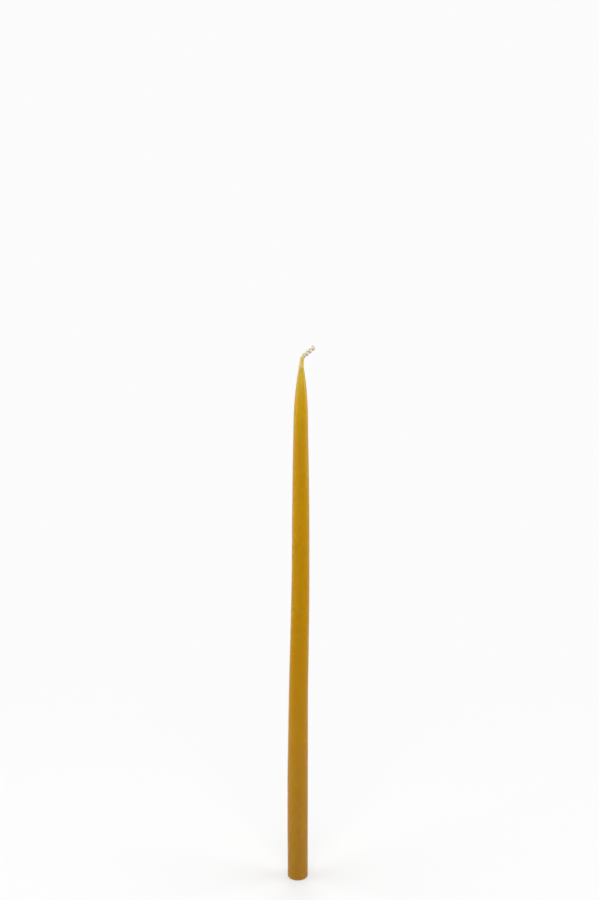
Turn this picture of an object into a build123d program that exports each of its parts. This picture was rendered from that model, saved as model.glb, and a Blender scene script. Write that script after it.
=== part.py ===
from build123d import *
import math
import os

# A hand-dipped beeswax taper with one plaited cotton wick.
#
# The candle is built up as it is made. Three cotton plies are plaited into a wick, the wick is
# primed with a thin film of wax, and then it is dipped again and again, so that each dip leaves
# one more coat over the last. Every ply and every coat is a solid of its own. The coats show as
# rings on the cut butt and as fine laps where they end, one below the other, at the tip.
#
# Frame: origin at the centre of the cut butt, +Z up the candle, +X the way the wick bends over.
# Lengths are in millimetres and angles in degrees.

# Wax outline
CANDLE_LENGTH = 250.0  # cut butt to the top edge of the first dip
BUTT_DIAMETER = 9.75  # the end that stands in a socket
BUTT_LENGTH = 48.0  # straight stretch above the cut
SHOULDER_DIAMETER = 7.65  # where the long taper turns into the tip
TIP_LENGTH = 58.0  # shoulder to the top edge of the first dip
TIP_DRAW = 0.45  # share of the tip's narrowing that is spread evenly over it
TIP_CLOSE = 9.0  # how late the rest of the narrowing comes

# Dips
DIP_COATS = 7  # dips over the primed wick
DIP_STEP = 0.8  # each dip stops this much lower on the wick
LIP_THICKNESS = 0.12  # thickness of a coat at its top edge

# Bow of the hand-dipped candle, sideways along X
BOW_OFFSET = 1.42  # how far the upper half stands over from the butt
BOW_START = 58.0  # height where the bow begins
BOW_LENGTH = 112.0  # height that it takes
LEAN_OFFSET = 0.27  # further lean of the tip
LEAN_LENGTH = 38.0  # height that it takes, up to the top of the wax

# Round sections that the taper is drawn through: equal parts of the flank, shares of the tip
FLANK_PARTS = 3
TIP_SHARES = (0.5, 0.8, 0.93, 1)

# Wick
PLY_COUNT = 3
PLY_DIAMETER = 0.56
PLY_SIDES = 8  # a ply is an eight-sided rod
PLY_CLEARANCE = 0.23  # wax between the two plies that lie side by side in depth
PLAIT_FLATNESS = 1.4  # how much wider than deep the plies swing
PLAIT_OPENING = 0.18  # how much wider they swing at the cut end
PLAIT_PITCH = 5.4  # one full crossing of a ply
PLAIT_LENGTH = 6.3  # bare plait beyond the primed wick
PLAIT_STEPS = 10  # straight runs of a ply in one pitch
PLAIT_PHASE = 0.25  # where in its crossing the first ply leaves the wax
PRIMING_FILM = 0.08  # wax over the outermost ply
NECK_LENGTH = 5.2  # primed wick beyond the top of the wax
WICK_UPRIGHT = 3.4  # stretch of it that stands upright before the bend
WICK_BEND = 50.0  # how far the free end leans from upright
WICK_BEND_RADIUS = 3.2
NECK_STEPS = 3  # straight steps of the bend in the primed neck

butt_radius = BUTT_DIAMETER / 2
shoulder_radius = SHOULDER_DIAMETER / 2
ply_radius = PLY_DIAMETER / 2
full_turn = 2 * math.pi
# In the wax the plies stand still, a clearance apart, where the plait takes them up
plait_depth = (PLY_DIAMETER + PLY_CLEARANCE) / (2 * math.sin(math.pi / PLY_COUNT))
plait_swing = plait_depth * PLAIT_FLATNESS
primed_radius = plait_swing + ply_radius + PRIMING_FILM
shoulder_height = CANDLE_LENGTH - TIP_LENGTH
# Above this height the coats keep their lip thickness and end one below the other
nose_height = CANDLE_LENGTH - DIP_COATS * DIP_STEP
nose_radius = primed_radius + DIP_COATS * LIP_THICKNESS


def axis_point(height):
    """The candle's axis: upright at the butt, an S-shaped bow over the flank, a lean at the tip."""
    bowed = min(max((height - BOW_START) / BOW_LENGTH, 0), 1)
    leaning = max((height - CANDLE_LENGTH) / LEAN_LENGTH + 1, 0)
    sideways = BOW_OFFSET * bowed**2 * (3 - 2 * bowed) + LEAN_OFFSET * leaning**2
    return Vector(sideways, 0, height)


def taper_heights():
    """Heights of the round sections, from the top of the straight butt up to the nose."""
    flank_step = (shoulder_height - BUTT_LENGTH) / FLANK_PARTS
    flank = [BUTT_LENGTH + flank_step * part for part in range(FLANK_PARTS + 1)]
    tip = [shoulder_height + (nose_height - shoulder_height) * share for share in TIP_SHARES]
    return flank + tip


def outline_radius(height):
    """Radius of the finished candle, from the butt up to the nose."""
    if height <= shoulder_height:
        climbed = max((height - BUTT_LENGTH) / (shoulder_height - BUTT_LENGTH), 0)
        return butt_radius + (shoulder_radius - butt_radius) * climbed
    climbed = (height - shoulder_height) / (nose_height - shoulder_height)
    narrowing = (1 - TIP_DRAW * climbed) * (1 - climbed**TIP_CLOSE)
    return nose_radius + (shoulder_radius - nose_radius) * narrowing


def coat_radius(coat, height):
    """Outer radius of one coat: the dips share the wax over the primed wick evenly."""
    return primed_radius + (outline_radius(height) - primed_radius) * coat / DIP_COATS


def disc(height, radius):
    """Level round section of the candle, centred on its axis."""
    return Plane(axis_point(height)) * Circle(radius)


def dipped_body(coat):
    """The whole candle as it is after this many dips. After none it is the wick's first film."""
    top = CANDLE_LENGTH - max(coat - 1, 0) * DIP_STEP
    sections = [disc(height, coat_radius(coat, height)) for height in taper_heights()]
    sections.append(disc(top, coat_radius(coat, nose_height)))
    butt = extrude(disc(0, coat_radius(coat, 0)), BUTT_LENGTH)
    return butt + loft(sections, ruled=True)


def wick_frame(along):
    """Plane across the free wick, a length along it from the top of the wax. Y is its depth."""
    upright = min(along, WICK_UPRIGHT)
    bent = min((along - upright) / WICK_BEND_RADIUS, math.radians(WICK_BEND))
    straight = along - upright - bent * WICK_BEND_RADIUS
    across = Vector(math.cos(bent), 0, -math.sin(bent))
    forward = Vector(math.sin(bent), 0, math.cos(bent))
    bend_foot = axis_point(CANDLE_LENGTH) + Vector(0, 0, upright)
    middle = bend_foot + (Vector(1, 0, 0) - across) * WICK_BEND_RADIUS + forward * straight
    return Plane(middle, x_dir=across, z_dir=forward)


def neck_lengths():
    """Where the primed neck has its sections: at the top of the wax, then through the bend."""
    bent_neck = NECK_LENGTH - WICK_UPRIGHT
    return [0] + [WICK_UPRIGHT + bent_neck * step / NECK_STEPS for step in range(NECK_STEPS + 1)]


def primed_body():
    """The wick with its first film of wax, which reaches up over the start of the bend."""
    sections = [wick_frame(along) * Circle(primed_radius) for along in neck_lengths()]
    return dipped_body(0) + loft(sections, ruled=True)


def ply_place(ply, plaited):
    """Place of a ply across the wick, after this length of the bare plait."""
    phase = full_turn * (PLAIT_PHASE + ply / PLY_COUNT + plaited / PLAIT_PITCH)
    swing = plait_swing + PLAIT_OPENING * plaited / PLAIT_LENGTH
    return Vector(swing * math.sin(phase), plait_depth * math.sin(2 * phase), 0)


def ply_route(ply):
    """Corners of one ply: up along the axis in the wax, then over and under through the plait."""
    laid = ply_place(ply, 0)
    route = [axis_point(height) + laid for height in [0, *taper_heights()]]
    route += [wick_frame(along).from_local_coords(laid) for along in neck_lengths()]
    plait_runs = round(PLAIT_STEPS * PLAIT_LENGTH / PLAIT_PITCH)
    for run in range(1, plait_runs + 1):
        plaited = PLAIT_LENGTH * run / plait_runs
        route.append(wick_frame(NECK_LENGTH + plaited).from_local_coords(ply_place(ply, plaited)))
    return route


def wick_ply(ply):
    """One cotton ply, from the cut butt to the cut end of the wick."""
    route = ply_route(ply)
    section = Plane(route[0]) * RegularPolygon(ply_radius, PLY_SIDES)
    return sweep(section, path=Polyline(*route), transition=Transition.RIGHT)


def candle():
    """Every solid of the candle, by name, from the wick outwards."""
    pieces = {f"wick_ply_{ply + 1}": wick_ply(ply) for ply in range(PLY_COUNT)}
    inside = primed_body()
    pieces["priming_coat"] = inside - list(pieces.values())
    for coat in range(1, DIP_COATS + 1):
        body = dipped_body(coat)
        name = "outer_coat" if coat == DIP_COATS else f"dip_coat_{coat}"
        pieces[name] = body - inside
        inside = body
    return pieces


os.makedirs("parts", exist_ok=True)
for name, piece in candle().items():
    export_step(piece, f"parts/{name}.step")
    print(f"{name}: {len(piece.solids())} solid, {piece.volume:.2f} mm3")
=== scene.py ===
# %% [markdown]
# # A hand-dipped beeswax taper
#
# The candle is slim and golden, with one cotton wick that bends over at the top. It is made by dipping.
# Three cotton plies are plaited into a wick, the wick is soaked in wax, and then it goes into the pot
# again and again, so that every dip leaves one more coat.
#
# The CAD model comes in as a fixed frame, in metres, with the cut butt at the origin and +Z up the
# candle. It has plain facets. This lesson puts a finished skin over it: the wax, the soaked film on the
# neck and the cotton threads, each as its own mesh with its own finish.

# %% Load the frame
import math
import random

import bpy
import numpy as np
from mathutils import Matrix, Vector, noise


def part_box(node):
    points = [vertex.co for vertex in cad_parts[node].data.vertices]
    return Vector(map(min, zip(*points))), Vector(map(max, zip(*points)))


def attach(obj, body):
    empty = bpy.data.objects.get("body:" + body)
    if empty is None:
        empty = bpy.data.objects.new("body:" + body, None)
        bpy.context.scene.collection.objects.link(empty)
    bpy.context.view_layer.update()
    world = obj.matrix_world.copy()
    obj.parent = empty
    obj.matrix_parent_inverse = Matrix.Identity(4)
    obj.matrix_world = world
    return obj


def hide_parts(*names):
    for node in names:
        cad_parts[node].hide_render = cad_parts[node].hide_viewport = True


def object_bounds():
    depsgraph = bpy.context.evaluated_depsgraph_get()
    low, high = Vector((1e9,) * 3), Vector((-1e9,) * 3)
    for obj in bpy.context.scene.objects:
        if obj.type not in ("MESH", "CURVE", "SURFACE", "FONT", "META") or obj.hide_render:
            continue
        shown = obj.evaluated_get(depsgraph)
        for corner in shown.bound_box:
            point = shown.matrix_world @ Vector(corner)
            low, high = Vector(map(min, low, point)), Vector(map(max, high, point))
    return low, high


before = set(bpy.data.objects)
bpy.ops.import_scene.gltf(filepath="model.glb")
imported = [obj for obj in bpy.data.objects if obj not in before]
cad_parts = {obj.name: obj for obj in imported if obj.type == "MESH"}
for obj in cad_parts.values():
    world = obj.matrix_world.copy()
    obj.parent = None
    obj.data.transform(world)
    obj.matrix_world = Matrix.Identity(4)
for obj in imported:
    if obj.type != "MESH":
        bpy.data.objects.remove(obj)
cad_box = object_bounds()
scene = bpy.context.scene
MM = 0.001
print("CAD box in mm:", [[round(side / MM, 2) for side in corner] for corner in cad_box])

# %% [markdown]
# ## The camera
#
# A slim object shows every error in the camera, so the camera comes first. It stands a little over half a
# metre away, higher than the tip, and looks down by 14 degrees. The sensor is fitted to the upright side
# of the picture, so the lens means the same in any frame.

# %% Camera
CAMERA_PLACE = (0.00085, -0.5399, 0.3476)
CAMERA_DROP = 14.0
LENS = 50.0
SENSOR_HEIGHT = 36.0
NEAR_LIMIT = 0.01

lens = bpy.data.cameras.new("camera")
lens.lens = LENS
lens.sensor_width = SENSOR_HEIGHT
lens.clip_start = NEAR_LIMIT
camera = bpy.data.objects.new("camera", lens)
camera.location = CAMERA_PLACE
camera.rotation_euler = (math.radians(90 - CAMERA_DROP), 0, 0)
scene.collection.objects.link(camera)
scene.camera = camera
scene.view_settings.view_transform = "Standard"
print("camera at", CAMERA_PLACE, "m, looking down by", CAMERA_DROP, "degrees")

# %% [markdown]
# ## Shader sums as Python
#
# A finish is a graph of nodes, and a graph is hard to read as code. The class below wraps one output
# socket, so that `1 - mask` or `wax * 0.5 + 0.2` adds the Math nodes by itself. All other nodes come from
# one method: it takes the node's type, its settings and what goes into its sockets.

# %% A wire in a shader
class Wire:
    """One output socket of a shader node. Arithmetic with it adds Math nodes to the tree in use."""

    tree = None

    def __init__(self, socket):
        self.socket = socket

    @classmethod
    def node(cls, kind, settings=None, links=None, output=0):
        """Adds a node. Settings are set first, then each socket gets its value or its wire."""
        made = cls.tree.nodes.new(kind)
        for name, value in (settings or {}).items():
            if name == "stops":
                cls.set_stops(made.color_ramp.elements, value)
            else:
                setattr(made, name, value)
        for name, value in (links or {}).items():
            if isinstance(value, Wire):
                cls.tree.links.new(value.socket, made.inputs[name])
            else:
                made.inputs[name].default_value = value
        return cls(made.outputs[output]) if made.outputs else None

    @staticmethod
    def set_stops(elements, stops):
        """Gives a colour ramp its stops, each a place and a colour."""
        while len(elements) < len(stops):
            elements.new(1)
        for element, (place, colour) in zip(elements, stops):
            element.position = place
            element.color = (*colour, 1)

    def sum(self, operation, other, swapped=False):
        """A Math node on this wire and another wire or number."""
        pair = (other, self) if swapped else (self, other)
        return Wire.node("ShaderNodeMath", {"operation": operation}, dict(enumerate(pair)))

    def __add__(self, other):
        return self.sum("ADD", other)

    def __sub__(self, other):
        return self.sum("SUBTRACT", other)

    def __rsub__(self, other):
        return self.sum("SUBTRACT", other, swapped=True)

    def __mul__(self, other):
        return self.sum("MULTIPLY", other)

    def __truediv__(self, other):
        return self.sum("DIVIDE", other)

    __radd__ = __add__
    __rmul__ = __mul__


print("wires ready: each + - * / adds a Math node")

# %% Shader helpers
def eased(wire, low, high):
    """A mask that goes smoothly from 0 at the low value to 1 at the high one."""
    settings = {"interpolation_type": "SMOOTHSTEP"}
    return Wire.node("ShaderNodeMapRange", settings, {0: wire, 1: low, 2: high})


def mixed(mask, first, second):
    """Goes from the first colour to the second with the mask."""
    colours = [(*c, 1) if isinstance(c, tuple) else c for c in (first, second)]
    return Wire.node("ShaderNodeMix", {"data_type": "RGBA"}, {0: mask, 6: colours[0], 7: colours[1]}, 2)


def stretched(place, stretch):
    """Coordinates multiplied by a vector, so that a pattern gets longer along one axis."""
    return Wire.node("ShaderNodeVectorMath", {"operation": "MULTIPLY"}, {0: place, 1: stretch})


def grain(place, scale, detail=2.0):
    """Soft noise from 0 to 1, about 1 / scale metres from lump to lump."""
    return Wire.node("ShaderNodeTexNoise", None, {"Vector": place, "Scale": scale, "Detail": detail})


def new_finish(name):
    """An empty material, whose tree becomes the one in use."""
    finish = bpy.data.materials.new(name)
    finish.use_nodes = True
    finish.node_tree.nodes.clear()
    Wire.tree = finish.node_tree
    return finish


print("helpers ready: masks, mixed colours, stretched places, grain and new finishes")

# %% [markdown]
# ## The studio
#
# One lamp would be the simplest light, but on a round, satin surface it shows as one hard line. So the
# light is plain and soft: a large softbox on each side, one in front above the camera, a weaker one
# behind, and an even sky that is dimmer on the camera's side. The front of the wax keeps its deep colour,
# and the side softboxes draw a paler band down each flank. To the camera the sky is plain white.

# %% Sky
WHITE = 0.97
SKY_FRONT = 0.42
SKY_BACK = 0.75
SKY_TURN = (-0.6, 0.3)


def sees_white(behind):
    """1 for rays that see a white background: those of the camera, and reflected ones from behind."""
    rays = [f"Is {kind} Ray" for kind in ("Camera", "Glossy", "Transmission")]
    direct, glossy, through = [Wire.node("ShaderNodeLightPath", None, None, ray) for ray in rays]
    return direct + behind * (glossy + through)


sky = bpy.data.worlds.new("studio")
sky.use_nodes = True
sky.node_tree.nodes.clear()
Wire.tree = sky.node_tree
direction = Wire.node("ShaderNodeTexCoord", None, None, "Generated")
away = Wire.node("ShaderNodeSeparateXYZ", None, {0: direction}, "Y")
behind = eased(away, *SKY_TURN)
shown = sees_white(behind)
glow = behind * (SKY_BACK - SKY_FRONT) + SKY_FRONT
strength = shown * WHITE + (1 - shown) * glow
background = Wire.node("ShaderNodeBackground", None, {"Color": (1, 1, 1, 1), "Strength": strength})
Wire.node("ShaderNodeOutputWorld", None, {"Surface": background})
scene.world = sky
print("sky from", SKY_FRONT, "in front to", SKY_BACK, "behind, white to the camera")

# %% Softboxes
CANDLE_MIDDLE = (cad_box[0] + cad_box[1]) / 2


def softbox(name, place, width, height, power):
    """A soft rectangular lamp that faces the middle of the candle."""
    lamp = bpy.data.lights.new(name, "AREA")
    lamp.shape = "RECTANGLE"
    lamp.size = width
    lamp.size_y = height
    lamp.energy = power
    stand = bpy.data.objects.new(name, lamp)
    stand.location = place
    stand.rotation_euler = (CANDLE_MIDDLE - Vector(place)).to_track_quat("-Z", "Y").to_euler()
    scene.collection.objects.link(stand)
    print(name, "radiance", round(power / (math.pi * width * height), 2))


softbox("left_softbox", (-0.75, -0.05, 0.42), 0.75, 0.95, 4.6)
softbox("right_softbox", (0.80, 0.00, 0.42), 0.60, 0.95, 4.5)
softbox("front_softbox", (0.0, -1.15, 0.65), 1.20, 0.80, 13.0)
softbox("back_softbox", (0.0, 1.15, 0.65), 1.20, 0.80, 8.0)

# %% [markdown]
# ## The floor
#
# The candle stands on a pale floor that goes over into the white behind it. A plain white floor needs
# strong lamps to look white, and those would bleach the wax. So the floor is grey paint near the candle,
# where it takes the soft shadow, and it glows by as much as the paint lacks to white. Further out it is
# all glow. It is a disc of rings, made by a helper that puts a skin over any stack of rings.

# %% Floor
FLOOR_REACH = 4.0
FLOOR_RINGS = 24
FLOOR_SIDES = 48


def floor_rings():
    """Rings of a round floor, close together near the candle."""
    for ring in range(FLOOR_RINGS):
        radius = FLOOR_REACH * ((ring + 1) / FLOOR_RINGS) ** 3
        angles = [math.tau * side / FLOOR_SIDES for side in range(FLOOR_SIDES)]
        yield [(radius * math.cos(angle), radius * math.sin(angle), 0) for angle in angles]


def skin_over(rings):
    """Corners and faces of a skin over rings of points, with a cap on the first and the last ring."""
    rings = list(rings)
    count = len(rings[0])
    corners = [corner for ring in rings for corner in ring]
    faces = [list(range(count))[::-1]]
    for start in range(0, count * (len(rings) - 1), count):
        for side in range(count):
            after = (side + 1) % count
            faces.append((start + side, start + after, start + count + after, start + count + side))
    last = count * (len(rings) - 1)
    faces.append(list(range(last, last + count)))
    return corners, faces


floor_corners, floor_faces = skin_over(floor_rings())
floor_mesh = bpy.data.meshes.new("floor")
floor_mesh.from_pydata(floor_corners, [], [face[::-1] for face in floor_faces[:-1]])
floor = bpy.data.objects.new("floor", floor_mesh)
scene.collection.objects.link(floor)
print("floor of", len(floor_mesh.polygons), "faces")

# %% Floor paint
FLOOR_GREY = 0.45
FLOOR_LIGHT = 1.47
SHADOW_REACH = (0.06, 0.30)
FLOOR_TURN = (-0.05, 0.15)


def grey(tone):
    """A number as a grey colour."""
    return Wire.node("ShaderNodeCombineColor", None, {0: tone, 1: tone, 2: tone})


floor_paint = new_finish("pale_floor")
spot = Wire.node("ShaderNodeTexCoord", None, None, "Object")
from_candle = Wire.node("ShaderNodeVectorMath", {"operation": "LENGTH"}, {0: spot}, "Value")
near = 1 - eased(from_candle, *SHADOW_REACH)
floor_behind = eased(Wire.node("ShaderNodeSeparateXYZ", None, {0: spot}, "Y"), *FLOOR_TURN)
floor_shown = sees_white(floor_behind)
paint_tone = near * FLOOR_GREY
glow_tone = floor_shown * (WHITE - paint_tone * FLOOR_LIGHT)
lit_floor = Wire.node("ShaderNodeBsdfPrincipled", None, {
    "Base Color": grey(paint_tone),
    "Roughness": 1.0,
    "Specular IOR Level": 0.0,
    "Emission Color": grey(glow_tone),
    "Emission Strength": 1.0,
})
Wire.node("ShaderNodeOutputMaterial", None, {"Surface": lit_floor})
floor_mesh.materials.append(floor_paint)
print("floor painted up to", SHADOW_REACH[1], "m from the candle")

# %% [markdown]
# ## The wax
#
# All coats are bonded into one body of wax, so one closed mesh stands for them. It could be a revolved
# outline, but a dipped candle is never that true: it bows, its skin is gently wavy, and every dip ends in
# a soft lap at the tip. So the mesh is a stack of rings. The frame says where they are: each coat's own
# rings give the axis and the radius, and a smooth curve through them takes the facets out. Waves and laps
# are added to the radius.

# %% Axis and outline from the frame
COATS = ["outer_coat"] + [f"dip_coat_{coat}" for coat in range(6, 0, -1)]
LEAST_CORNERS = 6


def level_rings(node):
    """Height, sideways middle and outer radius of a coat's level rings. Stray corners make no ring."""
    corners = np.array([corner.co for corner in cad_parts[node].data.vertices])
    heights = np.round(corners[:, 2], 6)
    rings = []
    for height in sorted(set(heights)):
        ring = corners[heights == height]
        if len(ring) < LEAST_CORNERS:
            continue
        middle = (ring[:, 0].min() + ring[:, 0].max()) / 2
        rings.append((height, middle, np.hypot(ring[:, 0] - middle, ring[:, 1]).max()))
    return rings


def smooth_curve(places, values):
    """A smooth curve through the values, as a function of the place."""
    slopes = np.gradient(values, places)

    def curve(place):
        after = int(np.clip(np.searchsorted(places, place), 1, len(places) - 1))
        before = after - 1
        step = places[after] - places[before]
        share = min(max((place - places[before]) / step, 0), 1)
        ease = share * share * (3 - 2 * share)
        start_pull = slopes[before] * step * share * (1 - share) ** 2
        end_pull = slopes[after] * step * share**2 * (1 - share)
        return values[before] + (values[after] - values[before]) * ease + start_pull - end_pull

    return curve


flank_rings = level_rings("outer_coat")[:-1]
lap_rings = [level_rings(coat)[-1] for coat in COATS]
outline = np.array(flank_rings[:-1] + lap_rings)
axis_sideways = smooth_curve(outline[:, 0], outline[:, 1])
outline_radius = smooth_curve(outline[:, 0], outline[:, 2])
BUTT_RADIUS = outline[0, 2]
WAX_TOP = outline[-1, 0]
print("wax", round(WAX_TOP / MM, 1), "mm tall,", round(2 * BUTT_RADIUS / MM, 2), "mm thick at the butt")

# %% Waves and laps
# Depth, length and number of turns round the candle
WAVES = ((0.055 * MM, 24 * MM, 0.55), (0.020 * MM, 9 * MM, 1.1), (0.006 * MM, 2.5 * MM, 2.6))
LAP_HEIGHT = 0.026 * MM
LAP_WIDTH = 0.28 * MM
LAP_TILT = 0.22 * MM
LAP_TURN = 2.4


def wave(height, angle):
    """How far the hand-dipped skin stands proud here: long, middle and short waves."""
    proud = 0
    for depth, length, turn in WAVES:
        proud += depth * noise.noise((turn * math.cos(angle), turn * math.sin(angle), height / length))
    return proud


def lap(height, angle):
    """Soft beads where the dips end, each one tilted its own way."""
    proud = 0
    for number, (lap_height, _, _) in enumerate(lap_rings):
        edge = lap_height + LAP_TILT * math.sin(angle + LAP_TURN * number)
        proud += LAP_HEIGHT * math.exp(-(((height - edge) / LAP_WIDTH) ** 2))
    return proud


print(len(WAVES), "waves and", len(lap_rings), "laps")

# %% [markdown]
# ## The cut butt
#
# The lower end is trimmed square with a knife. It shows how the candle was made: one ring for each dip,
# like the rings of a tree, and the cotton in the middle. The rings could be painted on, but grooves catch
# the light from any side. So the mesh starts in a small bore for the wick, runs outwards over a shallow
# groove at each coat, and turns up round a soft rim.

# %% Butt
BORE_RADIUS = 0.97 * MM
BORE_DEPTH = 1.2 * MM
BORE_CHAMFER = 0.06 * MM
RIM_ROUNDING = 0.35 * MM
RIM_STEPS = 6
RING_GROOVE = 0.04 * MM
GROOVE_WIDTH = 0.09 * MM


def butt_stations():
    """Height and radius from the bore in the cut butt out to its rounded rim."""
    yield BORE_DEPTH, BORE_RADIUS
    yield BORE_CHAMFER, BORE_RADIUS
    yield 0, BORE_RADIUS + BORE_CHAMFER
    for coat in COATS[:0:-1]:
        ring_radius = level_rings(coat)[0][2]
        yield 0, ring_radius - GROOVE_WIDTH
        yield RING_GROOVE, ring_radius
        yield 0, ring_radius + GROOVE_WIDTH
    for step in range(RIM_STEPS + 1):
        turn = math.pi / 2 * step / RIM_STEPS
        yield RIM_ROUNDING * (1 - math.cos(turn)), BUTT_RADIUS - RIM_ROUNDING * (1 - math.sin(turn))


print("butt with", len(COATS) - 1, "ring grooves")

# %% [markdown]
# ## The flank and the tip
#
# Above the butt the rings follow the outline, with waves and laps on them. They could be evenly spaced,
# but the laps are only a fraction of a millimetre wide, so the rings get closer towards the tip. The top
# edge runs up and down a little round the wick, because wax never runs off evenly.

# %% Flank and tip
WAX_SIDES = 96
# Up to a height, the step from ring to ring
FLANK_STEPS = ((192 * MM, 0.8 * MM), (238 * MM, 0.4 * MM), (WAX_TOP, 0.1 * MM))
# How far above the top edge a closing ring lies, and its share of the radius
TIP_CLOSING = ((0.06 * MM, 0.93), (0.08 * MM, 0.8))
EDGE_WAVE = 0.35 * MM
EDGE_REACH = 2.0 * MM
# The level of the noise that the edge is read at
EDGE_LEVEL = 7.5
# Height above the rim over which the waves set in
RELIEF_START = 3 * MM


def flank_heights():
    """Heights of the rings above the rim, closer together towards the tip."""
    height = RIM_ROUNDING
    for top, step in FLANK_STEPS:
        while height + step < top:
            height += step
            yield height
    yield WAX_TOP


def edge_lift(height, angle):
    """How far the top edge of the wax runs up and down round the wick. It fades out below the edge."""
    share = max(1 - max(WAX_TOP - height, 0) / EDGE_REACH, 0)
    return EDGE_WAVE * share**2 * noise.noise((math.cos(angle), math.sin(angle), EDGE_LEVEL))


def wax_ring(height, radius, relief=0.0):
    """A ring round the axis. Relief is the share of waves and laps that it gets."""
    ring = []
    for side in range(WAX_SIDES):
        angle = math.tau * side / WAX_SIDES
        reach = radius + relief * (wave(height, angle) + lap(height, angle))
        sideways = axis_sideways(height) + reach * math.cos(angle)
        ring.append((sideways, reach * math.sin(angle), height + edge_lift(height, angle)))
    return ring


wax_rings = [wax_ring(height, radius) for height, radius in butt_stations()]
for height in flank_heights():
    settled = min((height - RIM_ROUNDING) / RELIEF_START, 1)
    wax_rings.append(wax_ring(height, outline_radius(height), settled))
for rise, share in TIP_CLOSING:
    wax_rings.append(wax_ring(WAX_TOP + rise, outline_radius(WAX_TOP) * share))
print(len(wax_rings), "rings of", WAX_SIDES, "corners")

# %% Wax mesh
SHARP_ANGLE = 50.0


def new_piece(name, corners, faces, slot, nodes):
    """A smooth mesh on the candle's body. It stands for CAD nodes; the slot is not used."""
    mesh = bpy.data.meshes.new(name)
    mesh.from_pydata(corners, [], faces)
    mesh.polygons.foreach_set("use_smooth", [True] * len(mesh.polygons))
    mesh.set_sharp_from_angle(angle=math.radians(SHARP_ANGLE))
    piece = bpy.data.objects.new(name, mesh)
    scene.collection.objects.link(piece)
    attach(piece, "root")
    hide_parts(*nodes)
    print(name, "has", len(mesh.polygons), "faces")
    return piece


wax = new_piece("dipped_wax", *skin_over(wax_rings), "beeswax", COATS)

# %% [markdown]
# ## The path of the wick
#
# Above the wax the wick stands up with a slight lean, bends over and runs on straight. A curve object
# could carry it, but a function is easier to ask. It gives the middle of the wick at any length from the
# top of the wax, with the direction across it and the direction along it. Everything on the neck and in
# the plait is placed by it, so cotton and wax bend together.

# %% Wick path
WICK_UPRIGHT = 3.4 * MM
WICK_BEND = 50.0
WICK_BEND_RADIUS = 3.2 * MM
NECK_LENGTH = 5.2 * MM
NECK_LEAN = 0.26 * MM
PLAIT_LENGTH = 6.3 * MM
DEPTHWAYS = Vector((0, 1, 0))


def axis_point(height):
    """The candle's axis at a height."""
    return Vector((axis_sideways(height), 0, height))


def wick_frame(along):
    """Middle of the wick, the way across it and the way along it. Below zero it runs inside the wax."""
    if along < 0:
        return axis_point(WAX_TOP + along), Vector((1, 0, 0)), Vector((0, 0, 1))
    upright = min(along, WICK_UPRIGHT)
    bent = min((along - upright) / WICK_BEND_RADIUS, math.radians(WICK_BEND))
    straight = along - upright - bent * WICK_BEND_RADIUS
    across = Vector((math.cos(bent), 0, -math.sin(bent)))
    forward = Vector((math.sin(bent), 0, math.cos(bent)))
    climbed = min(along / NECK_LENGTH, 1)
    lean = NECK_LEAN * climbed * climbed * (3 - 2 * climbed)
    bend_foot = axis_point(WAX_TOP) + Vector((lean, 0, upright))
    middle = bend_foot + (Vector((1, 0, 0)) - across) * WICK_BEND_RADIUS + forward * straight
    return middle, across, forward


print("wick end at", [round(side / MM, 2) for side in wick_frame(NECK_LENGTH + PLAIT_LENGTH)[0]], "mm")

# %% [markdown]
# ## The plait
#
# A flat plait of three plies repeats itself: each ply swings from side to side, over one neighbour and
# under the other. It could be drawn point by point, but two sine waves give it: one sideways, and one in
# depth that is twice as quick. The plies share them, a third of a pitch apart. Where the wax lets go of
# the plait, it opens a little.

# %% Plait
PLY_COUNT = 3
PLAIT_PITCH = 5.4 * MM
PLAIT_PHASE = 0.25
PLAIT_FOOT = -3.0 * MM
PLAIT_DEPTH = 0.43 * MM
NECK_SWING = 0.58 * MM
BARE_SWING = 0.64 * MM
OPENING_START = -0.55 * MM
OPENING_LENGTH = 1.8 * MM


def opened(along):
    """How far the plait has opened out of its wax, from 0 on the neck to 1."""
    share = min(max((along - NECK_LENGTH - OPENING_START) / OPENING_LENGTH, 0), 1)
    return share * share * (3 - 2 * share)


def ply_place(ply, along):
    """Sideways and depthways place of a ply in the wick. Deep in the wax it runs straight."""
    plaited = max(along, PLAIT_FOOT) - NECK_LENGTH
    phase = math.tau * (PLAIT_PHASE + ply / PLY_COUNT + plaited / PLAIT_PITCH)
    swing = NECK_SWING + (BARE_SWING - NECK_SWING) * opened(along)
    return swing * math.sin(phase), PLAIT_DEPTH * math.sin(2 * phase)


def ply_point(ply, along):
    """Middle of a ply, a length along the wick."""
    middle, across, _ = wick_frame(along)
    sideways, depthways = ply_place(ply, along)
    return middle + across * sideways + DEPTHWAYS * depthways


print("plait of", PLY_COUNT, "plies,", round(PLAIT_LENGTH / PLAIT_PITCH, 2), "pitches bare")

# %% [markdown]
# ## The soaked film on the neck
#
# Before its first dip the wick is drawn through wax, and that film still covers the neck. It is thin, so
# the plies show through it as soft lumps. At the bottom it runs into the wax with a small bead on one
# side, and at the top it thins out between the plies. A skin shrunk onto the plies would follow every
# crossing too closely. So the film is a tube, and each ring is lifted a little where a ply lies under it.

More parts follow.
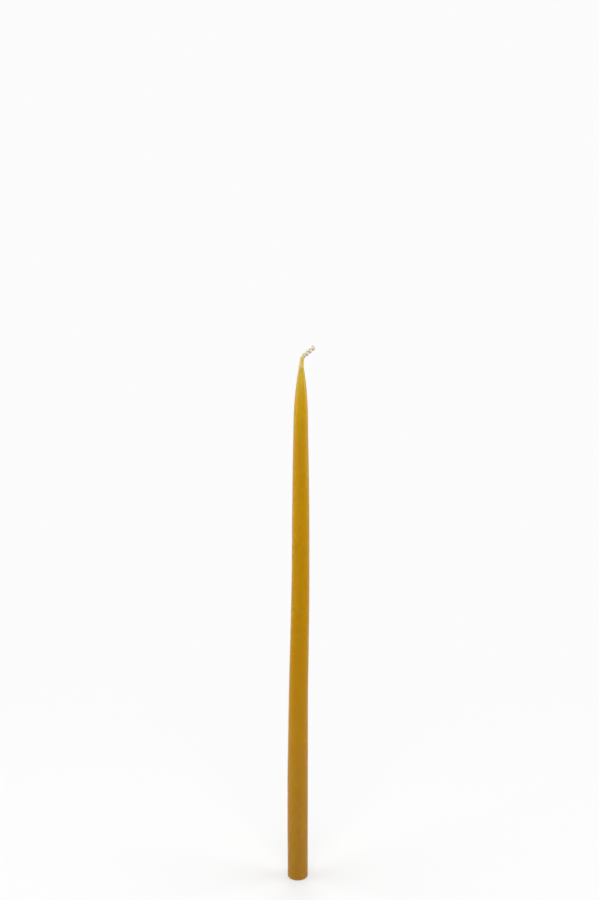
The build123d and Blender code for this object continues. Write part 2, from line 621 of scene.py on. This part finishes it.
# %% Film thickness
FILM_FOOT = 1.10 * MM
FILM_TOP = 0.86 * MM
FILM_OVERLAP = 0.8 * MM
FILM_END_LENGTH = 0.9 * MM
FILM_END_DEPTH = 0.34 * MM
FILM_EDGE_WAVE = 0.30 * MM
FILM_EDGE_TURN = 2
FILM_EDGE_LEVEL = 4.5
FILM_SLIMMING = 1.2
LUMP_HEIGHT = 0.12 * MM
LUMP_WIDTH = 0.7
LUMP_LEVEL = 0.6
BEAD_ALONG = 1.0 * MM
BEAD_SIDE = math.radians(190)
BEAD_HEIGHT = 0.36 * MM
BEAD_LENGTH = 0.50 * MM
BEAD_WIDTH = 0.45
FILM_LENGTH = NECK_LENGTH + FILM_OVERLAP
PRIMED_RADIUS = (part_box("priming_coat")[1].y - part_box("priming_coat")[0].y) / 2


def lumps(along, angle):
    """How far the plies inside lift the film here, from 0 between them to about 1 over them."""
    lift = 0
    for ply in range(PLY_COUNT):
        sideways, depthways = ply_place(ply, along)
        turned = math.remainder(angle - math.atan2(depthways, sideways), math.tau)
        lift += math.hypot(sideways, depthways) / NECK_SWING * math.exp(-((turned / LUMP_WIDTH) ** 2))
    return lift


def bead(along, angle):
    """A drop of wax that has set on one side of the neck."""
    turned = math.remainder(angle - BEAD_SIDE, math.tau)
    away = ((along - BEAD_ALONG) / BEAD_LENGTH) ** 2 + (turned / BEAD_WIDTH) ** 2
    return BEAD_HEIGHT * math.exp(-away)


def film_radius(along, angle):
    """Radius of the film: as primed inside the wax, then slimmer and slimmer up to its uneven end."""
    if along < 0:
        return PRIMED_RADIUS
    climbed = min(along / NECK_LENGTH, 1)
    place = (FILM_EDGE_TURN * math.cos(angle), FILM_EDGE_TURN * math.sin(angle), FILM_EDGE_LEVEL)
    edge = FILM_LENGTH + FILM_EDGE_WAVE * noise.noise(place)
    thinning = min(max((along - edge + FILM_END_LENGTH) / FILM_END_LENGTH, 0), 1) ** 2
    radius = FILM_TOP + (FILM_FOOT - FILM_TOP) * (1 - climbed) ** FILM_SLIMMING
    relief = LUMP_HEIGHT * climbed * (lumps(along, angle) - LUMP_LEVEL)
    return radius + relief + bead(along, angle) - FILM_END_DEPTH * thinning


print("film", round(2 * film_radius(NECK_LENGTH / 2, 0) / MM, 2), "mm thick halfway up the neck")

# %% Film mesh
FILM_SIDES = 48
FILM_START = 0.15 * MM
FILM_WAX_STEPS = 26
FILM_NECK_STEPS = 80


def film_stations():
    """Lengths along the wick: sparse inside the wax, fine on the neck."""
    for step in range(FILM_WAX_STEPS):
        yield (FILM_START - WAX_TOP) * (1 - step / FILM_WAX_STEPS)
    for step in range(FILM_NECK_STEPS + 1):
        yield (FILM_LENGTH + FILM_EDGE_WAVE) * step / FILM_NECK_STEPS


def film_ring(along):
    """A ring of the film, square to the wick."""
    middle, across, _ = wick_frame(along)
    ring = []
    for side in range(FILM_SIDES):
        angle = math.tau * side / FILM_SIDES
        radius = film_radius(along, angle)
        ring.append(middle + across * radius * math.cos(angle) + DEPTHWAYS * radius * math.sin(angle))
    return ring


film_skin = skin_over(map(film_ring, film_stations()))
film = new_piece("soaked_film", *film_skin, "primed_wax", ["priming_coat"])

# %% [markdown]
# ## The cotton plies
#
# Each ply is a soft bundle of twisted threads. Every thread could be a tube of its own, but then dark
# gaps open between them, and a real ply is packed tight. So a ply is one tube whose rings are fluted, and
# the flutes wind round it like threads. It is round on the neck and spreads flat where the wax lets go of
# it.

# %% Plies
FLUTES = 8
FLUTE_DEPTH = 0.18
FLUTE_CREASE = 1.5
FLUTE_TWIST = 2.6 * MM
PLY_SIDES = 64
PLY_STEP = 0.09 * MM
PLY_WAX_RINGS = 24
# Half the stretch that a ply's direction is taken over
HEADING_REACH = 0.05 * MM
NECK_PLY = 0.25 * MM
BARE_PLY_WIDTH = 0.50 * MM
BARE_PLY_DEPTH = 0.42 * MM
BUTT_STAND = 0.02 * MM
# How far beyond its end a ply's closing ring lies, and its share of the size
PLY_CLOSING = ((0.05 * MM, 0.93), (0.09 * MM, 0.75), (0.10 * MM, 0.4))
WICK_LENGTH = NECK_LENGTH + PLAIT_LENGTH


def ply_axes(ply, along):
    """Middle of a ply, the way along it and its two half axes, across and depthways."""
    forward = ply_point(ply, along + HEADING_REACH) - ply_point(ply, along - HEADING_REACH)
    forward.normalize()
    across = DEPTHWAYS.cross(forward).normalized()
    depth = forward.cross(across)
    width = NECK_PLY + (BARE_PLY_WIDTH - NECK_PLY) * opened(along)
    thickness = NECK_PLY + (BARE_PLY_DEPTH - NECK_PLY) * opened(along)
    return ply_point(ply, along), forward, across * width, depth * thickness


def ply_ring(ply, along, share=1.0, shift=0.0):
    """A fluted ring round a ply, made smaller by the share and moved on by the shift."""
    middle, forward, across, depth = ply_axes(ply, along)
    ring = []
    for side in range(PLY_SIDES):
        angle = math.tau * side / PLY_SIDES
        flute = abs(math.sin(FLUTES * (angle + math.tau * along / FLUTE_TWIST) / 2))
        reach = share * (1 - FLUTE_DEPTH * (1 - flute) ** FLUTE_CREASE)
        outward = across * math.cos(angle) + depth * math.sin(angle)
        ring.append(middle + forward * shift + outward * reach)
    return ring


def ply_rings(ply, end):
    """Rings of a ply from the cut butt to its end: sparse in the wax, close on the free wick."""
    for along in np.linspace(BUTT_STAND - WAX_TOP, PLAIT_FOOT, PLY_WAX_RINGS)[:-1]:
        yield ply_ring(ply, along)
    for along in np.linspace(PLAIT_FOOT, end, math.ceil((end - PLAIT_FOOT) / PLY_STEP)):
        yield ply_ring(ply, along)
    for shift, share in PLY_CLOSING:
        yield ply_ring(ply, end, share, shift)


print("plies", 2 * BARE_PLY_WIDTH / MM, "mm wide where they are bare")

# %% [markdown]
# ## Cut threads and loose fibres
#
# Scissors leave the end of a wick uneven, and a few fibres stand out of any cotton thread. They are too
# fine to see from a step away, but without them the wick looks moulded in a close view. Hair could make
# them. Short tubes are simpler to place, and they are plain meshes that can be exported.

# %% Cut threads
STUB_RADIUS = 0.055 * MM
STUB_LENGTH = 0.45 * MM
# How many threads end in a ring, and how far out in their ply it lies
STUB_RINGS = ((1, 0.0), (6, 0.42), (11, 0.82))
STUB_INSET = 0.85
STUB_SWAY = 0.12
STUB_LEAN = 0.10
STUB_TIP = 0.7
STUB_STEPS = 4
STUB_SIDES = 6
CUT_UNEVEN = 0.20 * MM


def tube(line, radii, sides):
    """Corners and faces of a tube round the points of a line."""
    rings = []
    for number, (point, radius) in enumerate(zip(line, radii)):
        forward = line[min(number + 1, len(line) - 1)] - line[max(number - 1, 0)]
        across = DEPTHWAYS.cross(forward).normalized()
        depth = forward.cross(across).normalized()
        angles = [math.tau * side / sides for side in range(sides)]
        rings.append([point + (across * math.cos(a) + depth * math.sin(a)) * radius for a in angles])
    return skin_over(rings)


def stub(ply, end, turn, share, chance):
    """A cut thread that comes out of the end of its ply and leans outwards a little."""
    middle, forward, across, depth = ply_axes(ply, end)
    outward = across * math.cos(turn) + depth * math.sin(turn)
    start = middle + outward * share * STUB_INSET - forward * STUB_LENGTH / 2
    reach = STUB_LENGTH + CUT_UNEVEN * chance.random()
    sway = Vector([chance.uniform(-1, 1) for _ in range(3)]) * STUB_SWAY
    heading = (forward + outward.normalized() * STUB_LEAN * share + sway).normalized()
    line = [start + heading * reach * step / STUB_STEPS for step in range(STUB_STEPS + 1)]
    return tube(line, [STUB_RADIUS] * STUB_STEPS + [STUB_RADIUS * STUB_TIP], STUB_SIDES)


print(sum(count for count, _ in STUB_RINGS), "cut threads at the end of each ply")

# %% Loose fibres
FIBRES = 22
FIBRE_RADIUS = 0.010 * MM
FIBRE_TIP = 0.3
FIBRE_LENGTHS = (0.25 * MM, 0.8 * MM)
FIBRE_CROWDING = 0.6
FIBRE_ROOT = 0.93
FIBRE_ALONG = 0.8
FIBRE_RISE = 0.2
FIBRE_CURL = 0.3
FIBRE_SWAY = 0.25
FIBRE_STEPS = 8
FIBRE_SIDES = 4


def fibre(ply, chance):
    """A loose fibre that leaves its ply and curls away from it. There are more towards the cut end."""
    along = NECK_LENGTH + PLAIT_LENGTH * chance.random() ** FIBRE_CROWDING
    middle, forward, across, depth = ply_axes(ply, along)
    turn = math.tau * chance.random()
    outward = across * math.cos(turn) + depth * math.sin(turn)
    sway = Vector([chance.uniform(-1, 1) for _ in range(3)])
    length = chance.uniform(*FIBRE_LENGTHS)
    line = []
    for step in range(FIBRE_STEPS + 1):
        share = step / FIBRE_STEPS
        lift = outward.normalized() * (FIBRE_RISE * share + FIBRE_CURL * share**2)
        curl = lift + sway * FIBRE_SWAY * share**2
        line.append(middle + outward * FIBRE_ROOT + (forward * FIBRE_ALONG * share + curl) * length)
    radii = np.linspace(FIBRE_RADIUS, FIBRE_RADIUS * FIBRE_TIP, FIBRE_STEPS + 1)
    return tube(line, radii, FIBRE_SIDES)


print(FIBRES, "loose fibres on each ply, up to", FIBRE_LENGTHS[1] / MM, "mm long")

# %% Ply meshes
def joined(parts):
    """Several meshes as one."""
    corners, faces = [], []
    for part_corners, part_faces in parts:
        faces += [[corner + len(corners) for corner in face] for face in part_faces]
        corners += part_corners
    return corners, faces


def ply_mesh(ply):
    """Corners and faces of one ply: the fluted tube, its cut threads and its loose fibres."""
    chance = random.Random(ply)
    end = WICK_LENGTH - CUT_UNEVEN * (0.5 + 0.5 * chance.random())
    parts = [skin_over(ply_rings(ply, end))]
    for count, share in STUB_RINGS:
        for number in range(count):
            parts.append(stub(ply, end, math.tau * number / count, share, chance))
    parts += [fibre(ply, chance) for _ in range(FIBRES)]
    return joined(parts)


plies = []
for ply in range(PLY_COUNT):
    number = ply + 1
    plies.append(new_piece(f"cotton_ply_{number}", *ply_mesh(ply), "cotton", [f"wick_ply_{number}"]))

# %% [markdown]
# ## Beeswax
#
# Beeswax is golden and a little see-through: light goes in, wanders about and comes out nearby. That is
# subsurface scattering, and it is what keeps wax from looking like paint. The colour follows the height:
# it is painted darker towards the butt, as painted shade where less light reaches, and paler at the thin
# tip, as painted light shining through it. The skin is satin, with faint clouds and a fine grain.

# %% Wax finish
# Share of the height, and the colour there, painted darker towards the butt as painted shade and paler at
# the tip as painted light
WAX_TONES_PAINTED_SHADE_AND_LIGHT = (
    (0.000, (0.300, 0.146, 0.008)),
    (0.180, (0.360, 0.178, 0.005)),
    (0.360, (0.430, 0.216, 0.004)),
    (0.640, (0.470, 0.244, 0.003)),
    (0.860, (0.500, 0.275, 0.003)),
    (0.950, (0.525, 0.318, 0.003)),
    (0.985, (0.510, 0.352, 0.008)),
    (1.000, (0.520, 0.395, 0.036)),
)
CLOUD_TONE = (0.36, 0.17, 0.004)
CLOUD_STRENGTH = 0.16
CLOUD_RANGE = (0.35, 0.75)
CLOUD_STRETCH = (1, 1, 0.35)
CLOUD_SCALE = 160.0
WAX_GRAIN = 2600.0
WAX_GRAIN_DEPTH = 0.05 * MM
WAX_IOR = 1.44
# How far red, green and blue light wander in the wax
WAX_SCATTER = (1.6 * MM, 0.9 * MM, 0.2 * MM)


def wax_finish():
    """Golden wax with a satin skin, painted darker at the butt as painted shade and paler at the tip as
    painted light.
    """
    finish = new_finish("golden_beeswax")
    place = Wire.node("ShaderNodeTexCoord", None, None, "Object")
    height = Wire.node("ShaderNodeSeparateXYZ", None, {0: place}, "Z") / WAX_TOP
    # The height ramp is the golden colour with painted shade towards the butt and painted light at the
    # tip.
    tone = Wire.node("ShaderNodeValToRGB", {"stops": WAX_TONES_PAINTED_SHADE_AND_LIGHT}, {0: height})
    clouds = grain(stretched(place, CLOUD_STRETCH), CLOUD_SCALE)
    shaded = mixed(CLOUD_STRENGTH * eased(clouds, *CLOUD_RANGE), tone, CLOUD_TONE)
    fine = grain(place, WAX_GRAIN, detail=3.0)
    relief = {"Strength": 0.12, "Distance": WAX_GRAIN_DEPTH, "Height": fine}
    wax_shader = Wire.node("ShaderNodeBsdfPrincipled", {"subsurface_method": "RANDOM_WALK"}, {
        "Base Color": shaded,
        "Roughness": 0.24 + 0.08 * clouds,
        "IOR": WAX_IOR,
        "Specular IOR Level": 0.25,
        "Subsurface Weight": 1.0,
        "Subsurface Radius": [reach / WAX_SCATTER[0] for reach in WAX_SCATTER],
        "Subsurface Scale": WAX_SCATTER[0],
        "Normal": Wire.node("ShaderNodeBump", None, relief),
    })
    Wire.node("ShaderNodeOutputMaterial", None, {"Surface": wax_shader})
    return finish


wax.data.materials.append(wax_finish())
print("finish", wax.active_material.name)

# %% [markdown]
# ## Soaked wax
#
# The film on the neck is the same wax, but so thin that the pale cotton under it shows through. It could
# be made see-through, which costs noise and time for a film of a tenth of a millimetre. So it has the
# mixed colour: warm at the foot, where the wax is thickest, and paler and greyer at the top, where it
# ends.

# %% Film finish
# The two colours of the clouds at the foot and further up, and the colour at the end
FOOT_TONES = ((0.620, 0.470, 0.150), (0.580, 0.440, 0.130))
UPPER_TONES = ((0.600, 0.460, 0.155), (0.560, 0.420, 0.130))
END_TONE = (0.540, 0.470, 0.240)
UPPER_RANGE = (WAX_TOP + 1.0 * MM, WAX_TOP + 3.0 * MM)
END_RANGE = (WAX_TOP + 3.5 * MM, WAX_TOP + 5.5 * MM)
FILM_GRAIN = 900.0
FILM_GRAIN_DEPTH = 0.04 * MM
FILM_SCATTER = 1.5 * MM


def film_finish():
    """Thin wax over cotton, warm at the foot and pale at its end."""
    finish = new_finish("soaked_wax")
    place = Wire.node("ShaderNodeTexCoord", None, None, "Object")
    height = Wire.node("ShaderNodeSeparateXYZ", None, {0: place}, "Z")
    clouds = grain(place, FILM_GRAIN)
    lower = mixed(eased(height, *UPPER_RANGE), mixed(clouds, *FOOT_TONES), mixed(clouds, *UPPER_TONES))
    shaded = mixed(eased(height, *END_RANGE), lower, END_TONE)
    relief = {"Strength": 0.2, "Distance": FILM_GRAIN_DEPTH, "Height": clouds}
    shader = Wire.node("ShaderNodeBsdfPrincipled", {"subsurface_method": "RANDOM_WALK"}, {
        "Base Color": shaded,
        "Roughness": 0.42 + 0.1 * clouds,
        "IOR": WAX_IOR,
        "Specular IOR Level": 0.3,
        "Subsurface Weight": 1.0,
        "Subsurface Radius": (1.0, 0.8, 0.5),
        "Subsurface Scale": FILM_SCATTER,
        "Normal": Wire.node("ShaderNodeBump", None, relief),
    })
    Wire.node("ShaderNodeOutputMaterial", None, {"Surface": shader})
    return finish


film.data.materials.append(film_finish())
print("finish", film.active_material.name)

# %% [markdown]
# ## Cotton
#
# The cotton is dull, cream-coloured and a little uneven from thread to thread. The threads are real
# shapes, so the finish needs no bump, only a fine speckle, and a sheen for the fuzz. Where the plies
# leave the film they are still soaked with wax, so they are yellower and less dull there.

# %% Cotton finish
# The two colours of the speckle, soaked and dry
SOAKED_TONES = ((0.590, 0.515, 0.310), (0.640, 0.565, 0.370))
CREAM_TONES = ((0.660, 0.592, 0.485), (0.740, 0.677, 0.556))
DRY_RANGE = (WAX_TOP + 4.5 * MM, WAX_TOP + 7.5 * MM)
SPECKLE = 9000.0


def cotton_finish():
    """Dull cream cotton, soaked with wax where it leaves the film."""
    finish = new_finish("wick_cotton")
    place = Wire.node("ShaderNodeTexCoord", None, None, "Object")
    height = Wire.node("ShaderNodeSeparateXYZ", None, {0: place}, "Z")
    dry = eased(height, *DRY_RANGE)
    speckle = grain(place, SPECKLE, detail=3.0)
    shaded = mixed(dry, mixed(speckle, *SOAKED_TONES), mixed(speckle, *CREAM_TONES))
    shader = Wire.node("ShaderNodeBsdfPrincipled", None, {
        "Base Color": shaded,
        "Roughness": 0.65 + 0.25 * dry,
        "Specular IOR Level": 0.2,
        "Sheen Weight": 0.3,
        "Sheen Roughness": 0.5,
    })
    Wire.node("ShaderNodeOutputMaterial", None, {"Surface": shader})
    return finish


cotton = cotton_finish()
for piece in plies:
    piece.data.materials.append(cotton)
print("finish", cotton.name, "on", len(plies), "plies")
